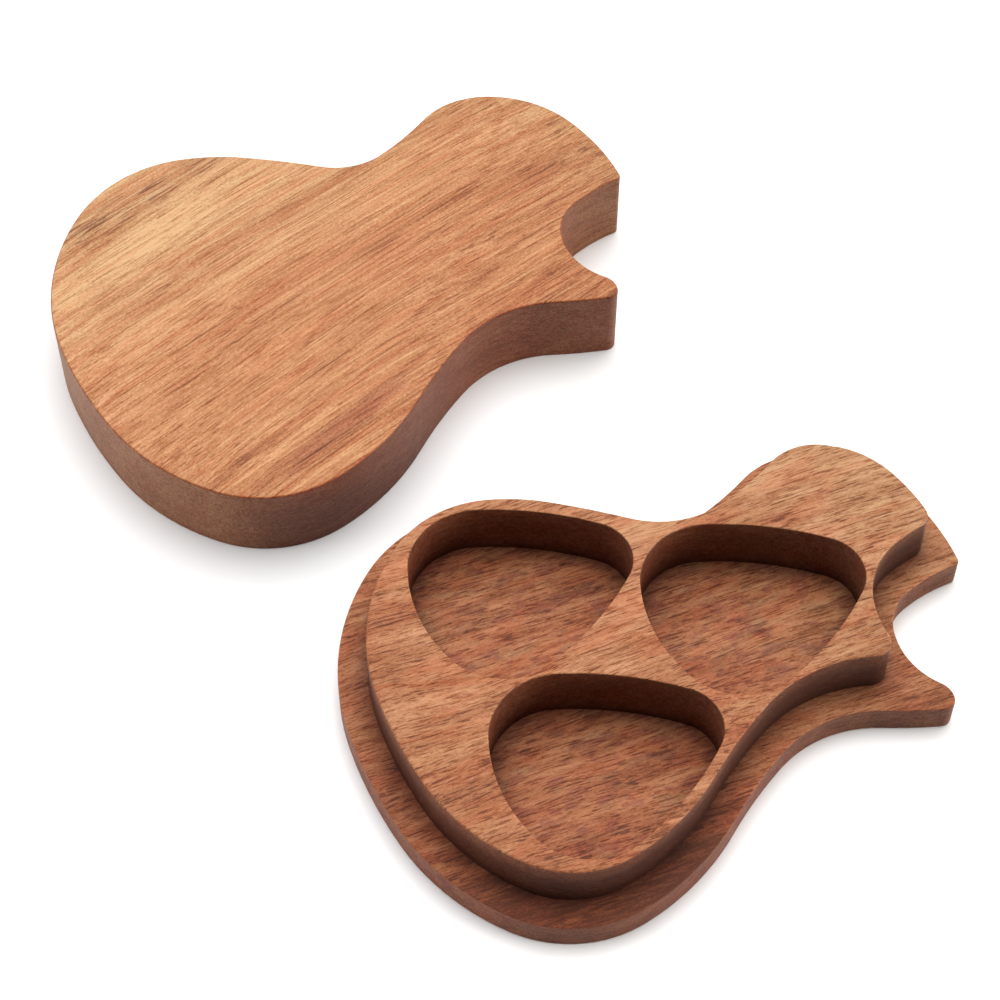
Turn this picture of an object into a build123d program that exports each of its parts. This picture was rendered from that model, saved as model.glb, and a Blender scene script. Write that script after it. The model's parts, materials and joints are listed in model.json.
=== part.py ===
from build123d import *
import math
import os

# Guitar-body pick box: a base with three pick pockets, and a lift-off lid.
#
# Each piece is routed from one block of wood. The base is a thin flange with a
# raised spigot, and the pockets are cut down through the spigot into the flange.
# The lid has the same outline and is hollow underneath, so that its skirt slides
# down over the spigot and rests on the flange. At rest the lid lies open beside
# the base, top side up.
#
# Frame: +Z up, origin on the base's underside at the middle of its outline,
# +X along the guitar body towards the neck.

# Blocks, millimetres
flange_height = 5.0
spigot_height = 8.0
lid_height = 13.2
ledge_width = 4.15           # flange left showing around the spigot, on average
spigot_shift = 0.25          # spigot's shift towards the neck, so the ledge is wider behind

# Sliding fit of the lid over the spigot
fit_gap = 0.25               # between the skirt and the spigot, all round
headroom = 0.3               # between the spigot's top and the lid's ceiling

# Pick pockets
pocket_depth = 9.7
crown_reach = 16.5           # from the pocket's middle to the wide end
flank_radius = 50.5          # long sides of the pick
shoulder = (-9.8, 16.4)      # where wide end and flank would meet before rounding
point_reach = 19.2           # where the two flanks would meet before rounding
shoulder_radius = 10.2
tip_radius = 6.5
pocket_centres = [(-16.1, 15.35), (-16.1, -15.35), (14.0, 0.1)]

# Roundings
neck_corner_radius = 0.9
spigot_point_radius = 2.5    # the spigot's corners at neck and horn
eased_edge = 0.35            # sanded outer edges
crisp_edge = 0.2             # machined inner edges
level_slack = 0.01           # for telling which faces lie at a height

# Where the open lid lies: rim down on the same surface as the base
lid_position = (-18.0, 79.9, 0)
lid_turn = 4.8               # degrees, seen from above

# Outline of the guitar body, anticlockwise from the neck corner. Each stretch
# between two points is one arc that leaves the last arc without a corner.
start_heading = 83.6         # degrees
outline_points = [
    (47.3, -1.6), (45.8, 13.7), (36.1, 25.0), (24.1, 24.8),          # upper bout
    (14.8, 21.0), (4.8, 23.0), (-5.3, 30.4),                         # waist
    (-15.0, 34.9), (-34.8, 30.7), (-47.3, 5.8), (-46.2, -11.5),      # lower bout
    (-37.2, -29.5), (-19.3, -35.4), (-2.4, -27.7),
    (8.7, -20.6), (24.9, -20.1), (33.1, -23.2),                      # waist
    (35.2, -22.2), (34.7, -19.1),                                    # horn
    (32.5, -8.6), (37.6, -3.2), (47.3, -1.6),                        # cutaway
]


def body_outline():
    """Guitar body with a single cutaway, as a face."""
    heading = math.radians(start_heading)
    with BuildSketch(mode=Mode.PRIVATE) as outline:
        with BuildLine():
            arc = TangentArc(
                outline_points[0],
                outline_points[1],
                tangent=(math.cos(heading), math.sin(heading)),
            )
            for point in outline_points[2:]:
                arc = TangentArc(arc @ 1, point, tangent=arc % 1)
        make_face()
        neck_corner = outline.vertices().sort_by_distance(Vector(*outline_points[0]))[:1]
        fillet(neck_corner, neck_corner_radius)
    return outline.sketch


def spigot_outline(clearance=0.0):
    """The body outline drawn in by the ledge, with its two points rounded off."""
    with BuildSketch(mode=Mode.PRIVATE) as outline:
        with Locations((spigot_shift, 0)):
            add(body_outline())
        drawn_in = ledge_width + spigot_point_radius
        offset(amount=-drawn_in, kind=Kind.INTERSECTION, mode=Mode.REPLACE)
        offset(amount=spigot_point_radius + clearance, mode=Mode.REPLACE)
    return outline.sketch


def pick_outline():
    """A guitar pick pointing along +X: three curved sides with rounded corners."""
    upper = shoulder
    lower = (shoulder[0], -shoulder[1])
    with BuildSketch(mode=Mode.PRIVATE) as pick:
        with BuildLine():
            RadiusArc((point_reach, 0), upper, -flank_radius)
            ThreePointArc(upper, (-crown_reach, 0), lower)
            RadiusArc(lower, (point_reach, 0), -flank_radius)
        make_face()
        fillet(pick.vertices().sort_by(Axis.X)[:2], shoulder_radius)
        fillet(pick.vertices().sort_by(Axis.X)[-1:], tip_radius)
    return pick.sketch


def face_loop(part, height, inner=False):
    """Edges around the largest flat face at a height: its rim, or its inner loops."""
    flat = part.faces().filter_by(Axis.Z)
    level = flat.filter_by_position(Axis.Z, height - level_slack, height + level_slack)
    face = level.sort_by(SortBy.AREA)[-1]
    if inner:
        return face.inner_wires().edges()
    return face.outer_wire().edges()


spigot_top = flange_height + spigot_height

with BuildPart() as base:
    with BuildSketch(Plane.XY):
        add(body_outline())
    extrude(amount=flange_height)
    with BuildSketch(Plane.XY.offset(flange_height)):
        add(spigot_outline())
    extrude(amount=spigot_height)
    fillet(face_loop(base.part, 0), eased_edge)
    fillet(face_loop(base.part, flange_height), crisp_edge)
    fillet(face_loop(base.part, spigot_top), eased_edge)
    with BuildSketch(Plane.XY.offset(spigot_top)):
        with Locations(*pocket_centres):
            add(pick_outline())
    extrude(amount=-pocket_depth, mode=Mode.SUBTRACT)
    fillet(face_loop(base.part, spigot_top, inner=True), crisp_edge)

turn = math.radians(lid_turn)
lid_floor = Plane(
    origin=lid_position,
    x_dir=(math.cos(turn), math.sin(turn), 0),
    z_dir=(0, 0, 1),
)

with BuildPart() as lid:
    with BuildSketch(lid_floor):
        add(body_outline())
    extrude(amount=lid_height)
    fillet(face_loop(lid.part, lid_height), eased_edge)
    with BuildSketch(lid_floor):
        add(spigot_outline(fit_gap))
    extrude(amount=spigot_height + headroom, mode=Mode.SUBTRACT)
    fillet(face_loop(lid.part, 0), crisp_edge)
    fillet(face_loop(lid.part, 0, inner=True), crisp_edge)

os.makedirs("parts", exist_ok=True)

base.part.label = "base"
export_step(base.part, "parts/base.step")

lid.part.label = "lid"
export_step(lid.part, "parts/lid.step")
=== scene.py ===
"""Looks of the guitar-body pick box: two pieces of open-pored hardwood on a pale studio floor.

Both pieces keep their CAD meshes. What is made here is their wood: grain, growth
layers, pores, sanded and machined surfaces, end grain and eased edges, as solid
materials that each piece's own shape cuts through. Shade and light are painted into
the wood's colour too: painted shade in inner corners, down the spigot's wall and on
the front of the ledge, walls darker partly as painted shade, painted side light on
walls that face along the fibres and at the lid's neck, and painted haze on the pocket
walls. Lengths in the wood are millimetres; everything that stands in the scene is in
metres.

The grain's tone is a number: 0 is the wood's average colour, negative is darker grain
and positive is lighter. Noises are around 0 with a spread of 1, so a weight in a tone
says how much of that spread it gives.
"""

import json
import math

import bpy
from mathutils import Matrix, Vector


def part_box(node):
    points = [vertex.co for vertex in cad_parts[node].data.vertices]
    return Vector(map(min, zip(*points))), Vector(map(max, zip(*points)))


MM = 0.001

# Camera. Azimuth 0 looks along +Y; elevation is above the floor; roll is clockwise.
CAMERA_AZIMUTH = math.radians(-22.96)
CAMERA_ELEVATION = math.radians(54.06)
CAMERA_ROLL = math.radians(-0.46)
CAMERA_AIM = Vector((-0.0103, 0.0386, 0.0))
CAMERA_DISTANCE = 0.3848
CAMERA_LENS = 89.85
CAMERA_SENSOR = 36.0
CAMERA_NEAR = 0.01

# Heights of the base's flat faces, mm
SPIGOT_TOP = 13.0
LEDGE_TOP = 5.0
POCKET_FLOOR = 3.3

# Grain of each piece: its turn from the row's +X axis, seen from above; its bend, which
# turns it flatter towards the neck, radians per mm; and how far it sways, mm
LID_GRAIN = {"turn": math.radians(17.5), "bend": 0.0018, "sway": 0.25}
BASE_GRAIN = {"turn": math.radians(-1.0), "bend": 0.0, "sway": 0.5}
SWAY = ((45.0, 20.0, 20.0), 21)        # size in mm and seed, as for the noises below

# Average colour of the sanded wood, and what multiplies it from dark to light tones
LID_COLOUR = (0.372, 0.157, 0.063)
BASE_COLOUR = (0.302, 0.117, 0.048)
GRAIN_SHADES = [
    (-5.0, (0.32, 0.24, 0.21)),
    (-3.0, (0.56, 0.43, 0.36)),
    (-1.5, (0.81, 0.68, 0.60)),
    (0.0, (1.0, 1.0, 1.0)),
    (1.5, (1.20, 1.37, 1.52)),
    (3.0, (1.42, 1.80, 2.10)),
]
DARKEST, LIGHTEST = GRAIN_SHADES[0][0], GRAIN_SHADES[-1][0]

# Even grain: size in mm along, across and through the grain, and seed
LID_NOISES = {
    "streaks": ((20.0, 0.50, 0.50), 3),
    "bands": ((34.0, 2.0, 2.0), 4),
    "layers": ((75.0, 6.5, 5.0), 2),
    "fibres": ((0.45, 0.24, 0.24), 5),
}
BASE_NOISES = {
    "streaks": ((5.0, 0.60, 0.60), 13),
    "bands": ((14.0, 2.0, 2.0), 14),
    "layers": ((40.0, 8.0, 5.0), 12),
    "fibres": ((0.45, 0.24, 0.24), 15),
}

# Scattered marks: size and seed of a noise, the levels where marks begin and are full,
# and its detail
LID_MARKS = {
    "vessels": ((10.0, 0.24, 0.24), 6, 0.6, 1.4, 1),
    "threads": ((12.0, 0.30, 0.30), 9, 0.8, 1.8, 1),
    "ruddy": ((24.0, 1.2, 1.2), 11, -0.6, 1.6, 1),
    "stain_lines": ((9.0, 0.45, 0.45), 8, 0.3, 1.2, 1),
}
BASE_MARKS = {
    "pores": ((3.2, 0.28, 0.28), 16, 0.7, 1.4, 1),
    "fine_pores": ((1.8, 0.22, 0.22), 18, 0.7, 1.4, 1),
    "mottle": ((3.4, 2.0, 2.0), 17, 0.3, 1.3, 2),
    "clouds": ((4.0, 2.2, 2.2), 19, 0.3, 1.3, 2),
    "ruddy": ((10.0, 2.8, 2.8), 22, -0.6, 1.6, 1),
}

# Single features, laid as spindles in the grain: middle along and across the grain
# from the piece's middle, length and width in mm, and slope
LID_PATCHES = {
    "stain": ((-17.0, 36.0), 50.0, 5.6, -0.04),
    "pale": ((-18.6, 29.0), 50.0, 6.0, 0.0),
    "pale_neck": ((5.0, 15.8), 42.0, 5.0, 0.0),
    "pale_horn": ((26.3, -12.3), 20.0, 4.5, 0.0),
    "pale_front": ((-16.0, -25.5), 28.0, 3.6, 0.0),
    "dark_waist": ((6.0, 0.0), 44.0, 6.0, 0.0),
    "dark_neck": ((29.8, 3.4), 22.0, 4.5, 0.0),
    "reddish": ((-24.6, 22.5), 40.0, 2.6, 0.04),
    "pale_low": ((-22.5, -12.5), 42.0, 3.2, 0.02),
    "pale_edge": ((-24.8, -18.8), 26.0, 2.2, 0.0),
    "red": ((-36.0, -16.6), 18.0, 2.6, 0.0),
    "mauve": ((-19.0, -21.2), 30.0, 4.0, 0.08),
}
BASE_PATCHES = {
    "red_line": ((-31.0, 3.0), 26.0, 1.3, -0.22),
    "pale": ((-21.0, -24.0), 32.0, 14.0, 0.0),
}
PATCH_EDGE = ((9.0, 0.9, 0.9), 7, 2)   # size, seed and detail of the noise that frays it
PATCH_FRAYING = 0.22
PATCH_FADE = (1.25, 0.35)              # absent at the first, full at the second, radii squared

# How far each part of the grain shifts the tone of flat faces and of walls, and the relief
# in mm. TONE_SHIFT brings the average back after the dark marks.
LID_TONE = {
    "streaks": 0.50, "bands": 0.30, "layers": 0.35, "fibres": 0.60, "vessels": -2.4,
    "threads": 0.9, "along": -0.007, "across": 0.028, "pale": 0.6, "pale_neck": 0.8,
    "pale_horn": 0.8, "pale_front": 1.1, "dark_waist": -0.5, "dark_neck": -0.7,
    "reddish": -0.9, "pale_low": 1.0, "pale_edge": 1.0, "red": -1.6, "mauve": -0.5,
}
LID_TONE_SHIFT = 0.14
LID_WALL_TONE = {"fibres": 0.9, "streaks": 0.6, "bands": 0.3, "layers": 0.2}
LID_RELIEF = {"streaks": 0.006, "fibres": 0.004, "vessels": -0.03}
BASE_TONE = {
    "streaks": 0.45, "bands": 0.55, "layers": 0.45, "fibres": 0.45, "pores": -3.4,
    "fine_pores": -2.1, "slant": 1.0, "front": -4.2, "along": 0.004, "pale": 0.35,
}
BASE_TONE_SHIFT = 0.80
BASE_WALL_TONE = {"fibres": 0.9, "streaks": 0.5, "bands": 0.3, "pores": -0.8}
BASE_RELIEF = {"streaks": 0.007, "fibres": 0.005, "pores": -0.05}

# Tints that multiply the sanded wood's colour
# Lid walls: darker than the top, partly as machined side grain and partly as painted shade
LID_WALL_TINT = (0.34, 0.245, 0.265)
# Lid walls that face along the fibres: lighter, as painted side light
LID_END_SIDE_LIGHT_TINT = (0.58, 0.53, 0.52)
# Lid walls at the neck: lighter and olive, as painted side light
LID_NECK_LIGHT_TINT = (0.40, 0.33, 0.31)
# Base walls: darker than the top, partly as machined side grain and partly as painted shade
BASE_WALL_TINT = (0.44, 0.39, 0.41)
# Base walls that face along the fibres: lighter, as painted side light
BASE_END_SIDE_LIGHT_TINT = (0.66, 0.60, 0.58)
# Pocket walls: lighter and bluish, as painted haze on their shaded walls
POCKET_WALL_HAZE_TINT = (0.50, 0.48, 0.62)
MACHINED_TINT = (0.92, 0.79, 0.72)
RIM_TINT = (0.78, 0.54, 0.44)
STAIN_TINT = (0.47, 0.40, 0.42)
GOLDEN_TINT = (1.0, 1.14, 1.18)
RUDDY_TINT = (1.0, 0.84, 0.80)
RED_LINE_TINT = (0.97, 0.78, 0.68)
# Painted shade down the spigot's wall, strongest towards its foot
FOOT_SHADE_TINT = (0.34, 0.28, 0.25)
# Painted shade in inner corners
CORNER_SHADE_TINT = (0.45, 0.38, 0.36)
MAUVE_TINT = (0.74, 0.62, 0.76)
OLIVE_TINT = (0.80, 0.90, 0.95)
LID_RUDDY, LID_MAUVE = 0.8, 0.5                  # share of each tint on the lid
STAIN_HAZE, STAIN_LINES = 0.10, 0.9              # share of the stain all over, and in its lines
MOTTLE_ON_TOP, MOTTLE_IN_POCKETS = 0.10, 0.65    # share of mauve; the second adds to the first
CLOUDS_ON_TOP, CLOUDS_IN_POCKETS = 0.05, 0.70    # share of olive, likewise

# Where looks change: distances in the grain from the piece's middle, and heights on the
# base, in mm, each pair from where a look is absent to where it is full
LID_GOLDEN_SIDE = (5.0, 30.0)          # across
LID_GOLDEN_NECK = (34.0, 48.0)         # along
LID_NECK_WALLS = (30.0, 40.0)          # along
BASE_GOLDEN_NECK = (0.0, 40.0)         # along
# The ledge's dark front is partly dark wood and partly painted shadow of the spigot
BASE_DARK_SIDE = (-15.0, -28.0)        # across: the dark front of the ledge
BASE_DARK_END = (8.0, -8.0)            # along
DARK_SIDE_EDGE = ((7.0, 3.0, 3.0), 20)     # size and seed of the noise that bends its edge
DARK_SIDE_WANDER = 1.5                 # how far the edge bends
TOP_SLANT, MACHINED_SLANT = 0.042, 0.020   # tone per mm across the base
MACHINED_LEVEL = (SPIGOT_TOP - 0.3, SPIGOT_TOP - 0.6)
POCKET_FLOOR_LEVEL = (POCKET_FLOOR + 0.9, POCKET_FLOOR + 0.5)
SPIGOT_LEVEL = (LEDGE_TOP - 0.2, LEDGE_TOP + 0.2)
# Painted shade down the spigot's wall: heights where it is weakest and where it is full
FOOT_SHADE_LEVEL = (SPIGOT_TOP, SPIGOT_TOP - 4.0)
FOOT_SHADE_SHARE = (0.30, 1.0)               # how far the painted shade darkens the spigot's wall at those two heights
POCKET_REACH = 22.0 * MM               # from a pocket's middle past its farthest wall
# Painted shade in inner corners: how far its occlusion looks, and its samples
CORNER_REACH = 3.5 * MM
CORNER_SAMPLES = 4

# How far a surface faces up or down, from 0 on walls to 1 on flat faces
WALL_TURN = (0.75, 0.30)
RIM_TURN_WALL = (0.10, 0.35)
RIM_TURN_FLAT = (0.97, 0.80)
END_GRAIN_TURN = (0.40, 0.95)          # how far a wall faces along the fibres
# Painted shade in inner corners: open shares where it begins and where it is full
CORNER_LIGHT = (0.95, 0.50)            # share of the surroundings that is open

# Finish: roughness from dark to light streaks, roughness of walls, and gloss
STREAK_SPAN = (-2.0, 2.0)
LID_ROUGHNESS, LID_WALL_ROUGHNESS = (0.62, 0.52), 0.50
BASE_ROUGHNESS, BASE_WALL_ROUGHNESS = (0.66, 0.56), 0.55
WOOD_IOR = 1.45
WOOD_SPECULAR = 0.25
BUMP_STRENGTH = 0.6

# Blender's noise: its middle, the spread of one octave, and the share of each finer octave
NOISE_MIDDLE = 0.5
NOISE_SPREAD = 0.13
NOISE_ROUGHNESS = 0.5
SEED_SHIFT = (17.3, 5.1, 9.7)          # moves each seed's noise to its own place


# ---------------------------------------------------------------- node helpers


def add_node(tree, kind, inputs=None, **settings):
    """Adds a shader node; each input is a value, or the socket that drives it."""
    made = tree.nodes.new(kind)
    for name, value in settings.items():
        setattr(made, name, value)
    for key, value in (inputs or {}).items():
        if isinstance(value, bpy.types.NodeSocket):
            tree.links.new(value, made.inputs[key])
        else:
            made.inputs[key].default_value = value
    return made


def maths(tree, operation, first, second=0.5, third=0.5):
    inputs = {0: first, 1: second, 2: third}
    return add_node(tree, "ShaderNodeMath", inputs, operation=operation).outputs[0]


def vector_maths(tree, operation, first, second=(0.0, 0.0, 0.0)):
    inputs = {0: first, 1: second}
    return add_node(tree, "ShaderNodeVectorMath", inputs, operation=operation).outputs["Vector"]


def dot(tree, first, second):
    inputs = {0: first, 1: second}
    return add_node(tree, "ShaderNodeVectorMath", inputs, operation="DOT_PRODUCT").outputs["Value"]


def parts_of(tree, vector):
    return add_node(tree, "ShaderNodeSeparateXYZ", {0: vector}).outputs


def ramp(tree, value, low, high, start=0.0, end=1.0):
    """From start at low to end at high, eased; low may be above high."""
    inputs = {"Value": value, "From Min": low, "From Max": high, "To Min": start, "To Max": end}
    made = add_node(tree, "ShaderNodeMapRange", inputs, interpolation_type="SMOOTHSTEP")
    return made.outputs["Result"]


def total(tree, parts):
    """Sum of (value, weight) pairs."""
    first, weight = parts[0]
    result = maths(tree, "MULTIPLY", first, weight)
    for value, weight in parts[1:]:
        result = maths(tree, "MULTIPLY_ADD", value, weight, result)
    return result


def mix(tree, factor, first, second):
    """First where factor is 0, second where it is 1; numbers."""
    inputs = {"Value": factor, "To Min": first, "To Max": second}
    return add_node(tree, "ShaderNodeMapRange", inputs).outputs["Result"]


def mix_colour(tree, factor, first, second, blend="MIX"):
    """Mixes two colours, each a triple or a socket."""
    made = tree.nodes.new("ShaderNodeMix")
    made.data_type = "RGBA"
    made.blend_type = blend
    sockets = {s.identifier: s for s in made.inputs}
    for name, value in (("Factor_Float", factor), ("A_Color", first), ("B_Color", second)):
        if isinstance(value, bpy.types.NodeSocket):
            tree.links.new(value, sockets[name])
        elif name == "Factor_Float":
            sockets[name].default_value = value
        else:
            sockets[name].default_value = (*value, 1.0)
    return next(s for s in made.outputs if s.identifier == "Result_Color")


def tint(tree, factor, colour, by):
    """Colour multiplied by a tint, as far as factor says."""
    return mix_colour(tree, factor, colour, by, blend="MULTIPLY")


def noise(tree, grain, size, seed, detail=1):
    """Noise around 0 with a spread of 1, sized in mm along, across and through the grain."""
    scaled = vector_maths(tree, "MULTIPLY", grain, tuple(1.0 / s for s in size))
    shifted = vector_maths(tree, "ADD", scaled, tuple(seed * s for s in SEED_SHIFT))
    inputs = {"Vector": shifted, "Scale": 1.0, "Detail": detail, "Roughness": NOISE_ROUGHNESS}
    raw = add_node(tree, "ShaderNodeTexNoise", inputs).outputs[0]
    octaves = [NOISE_ROUGHNESS**octave for octave in range(detail + 1)]
    spread = NOISE_SPREAD * math.hypot(*octaves) / sum(octaves)
    return maths(tree, "MULTIPLY_ADD", raw, 1.0 / spread, -NOISE_MIDDLE / spread)


def grain_colour(tree, tone, average):
    """Colour of the wood by tone: 0 is average, negative is dark grain, positive is light."""
    position = maths(tree, "DIVIDE", maths(tree, "SUBTRACT", tone, DARKEST), LIGHTEST - DARKEST)
    made = add_node(tree, "ShaderNodeValToRGB", {0: position})
    bands = made.color_ramp.elements
    while len(bands) < len(GRAIN_SHADES):
        bands.new(1.0)
    for band, (at, shade) in zip(bands, GRAIN_SHADES):
        band.position = (at - DARKEST) / (LIGHTEST - DARKEST)
        band.color = (*(s * a for s, a in zip(shade, average)), 1.0)
    return made.outputs["Color"]


# ---------------------------------------------------------------- wood


def grain_space(tree, centre, turn, bend, sway):
    """Place in the wood in mm: along, across and through the grain, bent and gently swaying."""
    place = add_node(tree, "ShaderNodeTexCoord").outputs["Object"]
    inputs = {"Vector": place, "Location": centre, "Rotation": (0, 0, turn), "Scale": (MM, MM, MM)}
    straight = add_node(tree, "ShaderNodeMapping", inputs, vector_type="TEXTURE").outputs[0]
    along = parts_of(tree, straight)[0]
    arch = maths(tree, "MULTIPLY", maths(tree, "MULTIPLY", along, along), bend / 2)
    wave = noise(tree, straight, *SWAY)
    shift = maths(tree, "MULTIPLY_ADD", wave, sway, arch)
    offset = add_node(tree, "ShaderNodeCombineXYZ", {1: shift, 2: shift}).outputs[0]
    return vector_maths(tree, "ADD", straight, offset)


def patch(tree, grain, middle, length, width, slope):
    """1 inside a long ragged spindle in the wood and 0 outside; middle is along and across."""
    along, across = parts_of(tree, grain)[:2]
    along = maths(tree, "SUBTRACT", along, middle[0])
    across = maths(tree, "SUBTRACT", across, middle[1])
    across = maths(tree, "MULTIPLY_ADD", along, -slope, across)
    along = maths(tree, "DIVIDE", along, length / 2)
    across = maths(tree, "DIVIDE", across, width / 2)
    frayed = noise(tree, grain, *PATCH_EDGE)
    spread = maths(tree, "MULTIPLY_ADD", across, across, maths(tree, "MULTIPLY", along, along))
    spread = maths(tree, "MULTIPLY_ADD", frayed, PATCH_FRAYING, spread)
    return ramp(tree, spread, *PATCH_FADE)


def grain_parts(tree, grain, noises, marks, patches):
    """Everything that varies in one wood, by name."""
    found = {name: noise(tree, grain, size, seed) for name, (size, seed) in noises.items()}
    for name, (size, seed, start, full, detail) in marks.items():
        found[name] = ramp(tree, noise(tree, grain, size, seed, detail), start, full)
    for name, (middle, length, width, slope) in patches.items():
        found[name] = patch(tree, grain, middle, length, width, slope)
    found["along"], found["across"] = parts_of(tree, grain)[:2]
    return found


def weigh(tree, found, weights):
    """Weighted sum of some of the wood's parts."""
    return total(tree, [(found[name], weight) for name, weight in weights.items()])


def face_direction(tree):
    """How far a surface faces up or down: 1 on flat faces, 0 on walls."""
    normal = add_node(tree, "ShaderNodeTexCoord").outputs["Normal"]
    return maths(tree, "ABSOLUTE", parts_of(tree, normal)[2])


def end_grain(tree, turn):
    """1 where a wall is cut across the fibres, 0 where it runs along them."""
    normal = add_node(tree, "ShaderNodeTexCoord").outputs["Normal"]
    fibre = (math.cos(turn), math.sin(turn), 0.0)
    return ramp(tree, maths(tree, "ABSOLUTE", dot(tree, normal, fibre)), *END_GRAIN_TURN)


def pocket_wall(tree):
    """1 on walls that face the middle of a pocket close by, 0 on walls that face outwards."""
    place = add_node(tree, "ShaderNodeTexCoord").outputs
    result = 0.0
    for centre in pocket_middles():
        reach = vector_maths(tree, "SUBTRACT", centre, place["Object"])
        facing = dot(tree, reach, place["Normal"])
        measured = add_node(tree, "ShaderNodeVectorMath", {0: reach}, operation="LENGTH")
        near = maths(tree, "LESS_THAN", measured.outputs["Value"], POCKET_REACH)
        inside = maths(tree, "MULTIPLY", near, maths(tree, "GREATER_THAN", facing, 0.0))
        result = maths(tree, "MAXIMUM", inside, result)
    return result


def painted_corner_shade(tree):
    """1 deep in an inner corner, where painted shade darkens the wood, and 0 in the open."""
    inputs = {"Distance": CORNER_REACH}
    settings = {"only_local": True, "samples": CORNER_SAMPLES}
    made = add_node(tree, "ShaderNodeAmbientOcclusion", inputs, **settings)
    return ramp(tree, made.outputs["AO"], *CORNER_LIGHT)


def height(tree):
    """Height in the row frame at rest, mm."""
    place = add_node(tree, "ShaderNodeTexCoord").outputs["Object"]
    return maths(tree, "DIVIDE", parts_of(tree, place)[2], MM)


def rim(tree, flat):
    """1 on the eased edges between flat faces and walls."""
    return maths(tree, "MULTIPLY", ramp(tree, flat, *RIM_TURN_WALL),
                 ramp(tree, flat, *RIM_TURN_FLAT))


def finish_wood(material, colour, roughness, relief):
    """Joins colour, roughness and relief, which is in mm, to the material's shader."""
    tree = material.node_tree
    inputs = {"Strength": BUMP_STRENGTH, "Distance": MM, "Height": relief}
    bump = add_node(tree, "ShaderNodeBump", inputs)
    inputs = {
        "Base Color": colour,
        "Roughness": roughness,
        "Normal": bump.outputs[0],
        "IOR": WOOD_IOR,
        "Specular IOR Level": WOOD_SPECULAR,
    }
    shader = add_node(tree, "ShaderNodeBsdfPrincipled", inputs)
    add_node(tree, "ShaderNodeOutputMaterial", {"Surface": shader.outputs[0]})


def new_material(name):
    made = bpy.data.materials.new(name)
    made.use_nodes = True
    made.node_tree.nodes.clear()
    return made


def lid_walls(tree, colour, wall, along):
    """The lid's colour, with its walls darker as side grain and painted shade, and lighter
    along the fibres and at the neck as painted side light.
    """
    # walls: darker as side grain and painted shade, lighter along the fibres as painted side light
    cut = end_grain(tree, LID_GRAIN["turn"])
    sawn_shade_and_light = mix_colour(tree, cut, LID_WALL_TINT, LID_END_SIDE_LIGHT_TINT)
    # painted side light on the walls at the neck
    neck = ramp(tree, along, *LID_NECK_WALLS)
    sawn_shade_and_light = mix_colour(tree, neck, sawn_shade_and_light, LID_NECK_LIGHT_TINT)
    return tint(tree, wall, colour, sawn_shade_and_light)


def lid_wood(centre):
    """Straight-grained orange-brown wood: long streaks and one dark mineral stain."""
    made = new_material("lid_wood")
    tree = made.node_tree
    grain = grain_space(tree, centre, **LID_GRAIN)
    flat = face_direction(tree)
    wall = ramp(tree, flat, *WALL_TURN)
    found = grain_parts(tree, grain, LID_NOISES, LID_MARKS, LID_PATCHES)

    tone = maths(tree, "ADD", weigh(tree, found, LID_TONE), LID_TONE_SHIFT)
    tone = mix(tree, wall, tone, weigh(tree, found, LID_WALL_TONE))
    colour = grain_colour(tree, tone, LID_COLOUR)

    stained = maths(tree, "MULTIPLY_ADD", found["stain_lines"], STAIN_LINES, STAIN_HAZE)
    colour = tint(tree, maths(tree, "MULTIPLY", found["stain"], stained), colour, STAIN_TINT)
    golden = maths(tree, "MAXIMUM", ramp(tree, found["across"], *LID_GOLDEN_SIDE),
                   ramp(tree, found["along"], *LID_GOLDEN_NECK))
    colour = tint(tree, golden, colour, GOLDEN_TINT)
    ruddy = maths(tree, "MULTIPLY", found["ruddy"], LID_RUDDY)
    colour = tint(tree, ruddy, colour, RUDDY_TINT)
    mauve = maths(tree, "MULTIPLY", found["mauve"], LID_MAUVE)
    colour = tint(tree, mauve, colour, MAUVE_TINT)
    colour = tint(tree, rim(tree, flat), colour, RIM_TINT)

    colour = lid_walls(tree, colour, wall, found["along"])

    sanded = ramp(tree, found["streaks"], *STREAK_SPAN, *LID_ROUGHNESS)
    roughness = mix(tree, wall, sanded, LID_WALL_ROUGHNESS)
    finish_wood(made, colour, roughness, weigh(tree, found, LID_RELIEF))
    return made


def base_walls(tree, colour, wall, level):
    """The base's colour, with its walls darker as side grain and painted shade, lighter along
    the fibres as painted side light, bluish in pockets as painted haze, and with painted
    shade down the spigot's wall, strongest towards its foot.
    """
    inside = pocket_wall(tree)
    # walls: darker as side grain and painted shade, lighter along the fibres as painted side light
    cut = end_grain(tree, BASE_GRAIN["turn"])
    sawn_shade_and_light = mix_colour(tree, cut, BASE_WALL_TINT, BASE_END_SIDE_LIGHT_TINT)
    # pocket walls get painted haze: a lighter, bluish tint
    sawn_shade_and_light = mix_colour(tree, inside, sawn_shade_and_light, POCKET_WALL_HAZE_TINT)
    colour = tint(tree, wall, colour, sawn_shade_and_light)
    spigot = maths(tree, "MULTIPLY", maths(tree, "SUBTRACT", 1.0, inside),
                   ramp(tree, level, *SPIGOT_LEVEL))
    # painted shade down the spigot's wall, outside the pockets, strongest towards its foot
    foot_shade = maths(tree, "MULTIPLY", spigot, ramp(tree, level, *FOOT_SHADE_LEVEL, *FOOT_SHADE_SHARE))
    return tint(tree, maths(tree, "MULTIPLY", foot_shade, wall), colour, FOOT_SHADE_TINT)


def dark_wood_and_shade_front(tree, grain, found, ledge):
    """1 on the front of the ledge: dark wood, and the spigot's shadow painted in."""
    bent = noise(tree, grain, *DARK_SIDE_EDGE)
    side = maths(tree, "MULTIPLY_ADD", bent, DARK_SIDE_WANDER, found["across"])
    side = ramp(tree, side, *BASE_DARK_SIDE)
    front = maths(tree, "MULTIPLY", side, ramp(tree, found["along"], *BASE_DARK_END))
    return maths(tree, "MULTIPLY", front, ledge)


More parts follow.
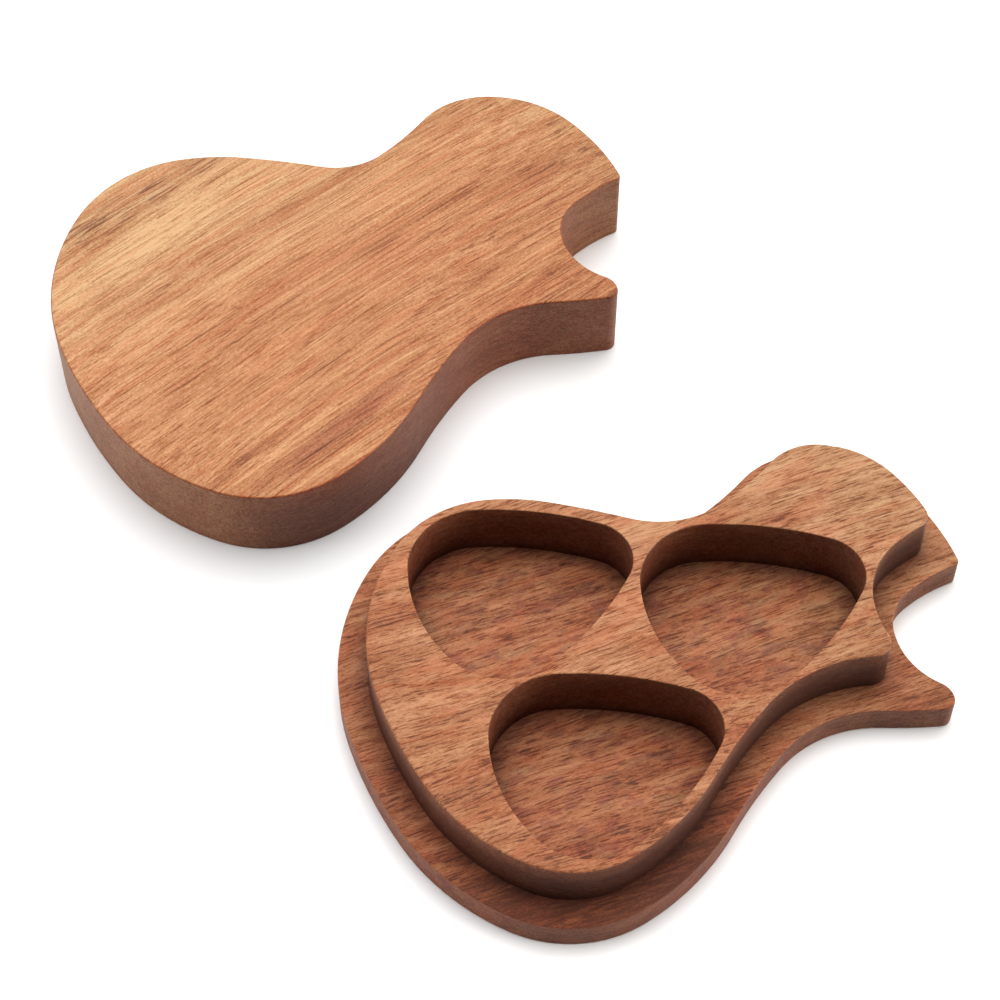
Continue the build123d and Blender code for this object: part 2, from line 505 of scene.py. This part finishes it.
def base_wood(centre):
    """Red-brown wood with short open pores, sanded on top and left as machined elsewhere."""
    made = new_material("base_wood")
    tree = made.node_tree
    grain = grain_space(tree, centre, **BASE_GRAIN)
    flat = face_direction(tree)
    wall = ramp(tree, flat, *WALL_TURN)
    level = height(tree)
    machined = ramp(tree, level, *MACHINED_LEVEL)
    sunk = ramp(tree, level, *POCKET_FLOOR_LEVEL)
    found = grain_parts(tree, grain, BASE_NOISES, BASE_MARKS, BASE_PATCHES)
    # the ledge's front: partly dark wood, partly painted shadow of the spigot
    found["front"] = dark_wood_and_shade_front(tree, grain, found, maths(tree, "SUBTRACT", machined, sunk))
    found["slant"] = maths(tree, "MULTIPLY", found["across"],
                           mix(tree, machined, TOP_SLANT, MACHINED_SLANT))

    tone = maths(tree, "ADD", weigh(tree, found, BASE_TONE), BASE_TONE_SHIFT)
    tone = mix(tree, wall, tone, weigh(tree, found, BASE_WALL_TONE))
    colour = grain_colour(tree, tone, BASE_COLOUR)

    colour = tint(tree, found["ruddy"], colour, RUDDY_TINT)
    golden = ramp(tree, found["along"], *BASE_GOLDEN_NECK)
    colour = tint(tree, golden, colour, GOLDEN_TINT)
    colour = tint(tree, found["red_line"], colour, RED_LINE_TINT)
    mottled = maths(tree, "MULTIPLY_ADD", sunk, MOTTLE_IN_POCKETS, MOTTLE_ON_TOP)
    colour = tint(tree, maths(tree, "MULTIPLY", found["mottle"], mottled), colour, MAUVE_TINT)
    clouded = maths(tree, "MULTIPLY_ADD", sunk, CLOUDS_IN_POCKETS, CLOUDS_ON_TOP)
    colour = tint(tree, maths(tree, "MULTIPLY", found["clouds"], clouded), colour, OLIVE_TINT)
    colour = tint(tree, machined, colour, MACHINED_TINT)

    colour = base_walls(tree, colour, wall, level)
    # painted shade in the inner corners
    colour = tint(tree, painted_corner_shade(tree), colour, CORNER_SHADE_TINT)

    sanded = ramp(tree, found["streaks"], *STREAK_SPAN, *BASE_ROUGHNESS)
    roughness = mix(tree, wall, sanded, BASE_WALL_ROUGHNESS)
    finish_wood(made, colour, roughness, weigh(tree, found, BASE_RELIEF))
    return made


def dress(node, material):
    """Gives a CAD node its material."""
    piece = frame["nodes"][node]
    if not piece.material_slots:
        piece.data.materials.append(material)
    for holder in piece.material_slots:
        holder.material = material


def pocket_middles():
    """The middles of the base's pockets, from the openings that the record lists for them.

    An opening's name is its pocket's, which has three words, and then its place in it.
    """
    pockets = {}
    for opening in frame["record"]["physics"]["openings"]:
        words = opening["name"].split("_")
        if words[0] == "pocket":
            pockets.setdefault(tuple(words[:3]), []).extend(opening["box_m"])
    for corners in pockets.values():
        low = [min(values) for values in zip(*corners)]
        high = [max(values) for values in zip(*corners)]
        yield tuple((first + last) / 2 for first, last in zip(low, high))


def middle(node):
    low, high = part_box(node)
    return (low + high) / 2


# ---------------------------------------------------------------- studio


WHITE = (1.0, 1.0, 1.0)
FLOOR_SIDE = 40.0                   # keeps its edges out of low views
FLOOR_COLOUR = (0.87, 0.87, 0.87)
KEY_STRENGTH = 4.6
KEY_SPREAD = math.radians(76)
KEY_AZIMUTH = CAMERA_AZIMUTH + math.radians(180)
KEY_ELEVATION = math.radians(70)
FILL_SPREAD = math.radians(24)
FILL_ELEVATION = math.radians(5)
RIGHT_STRENGTH = 4.2
RIGHT_COLOUR = (1.0, 0.96, 0.86)    # slightly warm
RIGHT_AZIMUTH = CAMERA_AZIMUTH + math.radians(80)
LEFT_STRENGTH = 1.9
LEFT_AZIMUTH = CAMERA_AZIMUTH - math.radians(85)
SKY_STRENGTH = 0.12


def build_floor():
    bpy.ops.mesh.primitive_plane_add(size=FLOOR_SIDE, location=(0, 0, 0))
    floor = bpy.context.object
    floor.name = "floor"
    paint = new_material("floor_paint")
    shader = add_node(paint.node_tree, "ShaderNodeBsdfDiffuse", {"Color": (*FLOOR_COLOUR, 1.0)})
    add_node(paint.node_tree, "ShaderNodeOutputMaterial", {"Surface": shader.outputs[0]})
    floor.data.materials.append(paint)


def direction(azimuth, elevation):
    """Unit vector from the object towards a camera or light."""
    flat = math.cos(elevation)
    return Vector((math.sin(azimuth) * flat, -math.cos(azimuth) * flat, math.sin(elevation)))


def build_sun(name, strength, spread, azimuth, elevation, colour=WHITE):
    """A far, broad light, as soft as its spread is wide."""
    lamp = bpy.data.lights.new(name, "SUN")
    lamp.energy = strength
    lamp.color = colour
    lamp.angle = spread
    light = bpy.data.objects.new(name, lamp)
    light.rotation_mode = "QUATERNION"
    light.rotation_quaternion = direction(azimuth, elevation).to_track_quat("Z", "Y")
    bpy.context.scene.collection.objects.link(light)


def build_lights():
    world = bpy.data.worlds.new("studio")
    world.use_nodes = True
    sky = world.node_tree.nodes["Background"].inputs
    sky["Color"].default_value = (*WHITE, 1.0)
    sky["Strength"].default_value = SKY_STRENGTH
    bpy.context.scene.world = world
    build_sun("key_light", KEY_STRENGTH, KEY_SPREAD, KEY_AZIMUTH, KEY_ELEVATION)
    build_sun(
        "right_light", RIGHT_STRENGTH, FILL_SPREAD, RIGHT_AZIMUTH, FILL_ELEVATION, RIGHT_COLOUR
    )
    build_sun("left_light", LEFT_STRENGTH, FILL_SPREAD, LEFT_AZIMUTH, FILL_ELEVATION)


def build_camera():
    back = direction(CAMERA_AZIMUTH, CAMERA_ELEVATION)
    right = Vector((0, 0, 1)).cross(back).normalized()
    up = back.cross(right)
    turn = Matrix.Rotation(-CAMERA_ROLL, 3, back)
    axes = Matrix((turn @ right, turn @ up, back)).transposed()
    data = bpy.data.cameras.new("camera")
    data.sensor_width = CAMERA_SENSOR
    data.lens = CAMERA_LENS
    data.clip_start = CAMERA_NEAR
    camera = bpy.data.objects.new("camera", data)
    camera.matrix_world = Matrix.Translation(CAMERA_AIM + back * CAMERA_DISTANCE) @ axes.to_4x4()
    bpy.context.scene.collection.objects.link(camera)
    bpy.context.scene.camera = camera


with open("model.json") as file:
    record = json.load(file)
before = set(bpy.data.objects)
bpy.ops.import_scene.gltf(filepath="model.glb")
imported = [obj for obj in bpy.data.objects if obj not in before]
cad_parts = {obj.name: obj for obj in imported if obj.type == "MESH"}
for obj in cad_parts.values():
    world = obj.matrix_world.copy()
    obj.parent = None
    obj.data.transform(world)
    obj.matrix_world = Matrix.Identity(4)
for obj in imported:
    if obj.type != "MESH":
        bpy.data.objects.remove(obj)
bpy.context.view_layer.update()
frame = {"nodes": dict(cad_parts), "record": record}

dress("lid", lid_wood(middle("lid")))
dress("base", base_wood(middle("base")))
build_floor()
build_lights()
build_camera()
bpy.context.scene.view_settings.view_transform = "Standard"
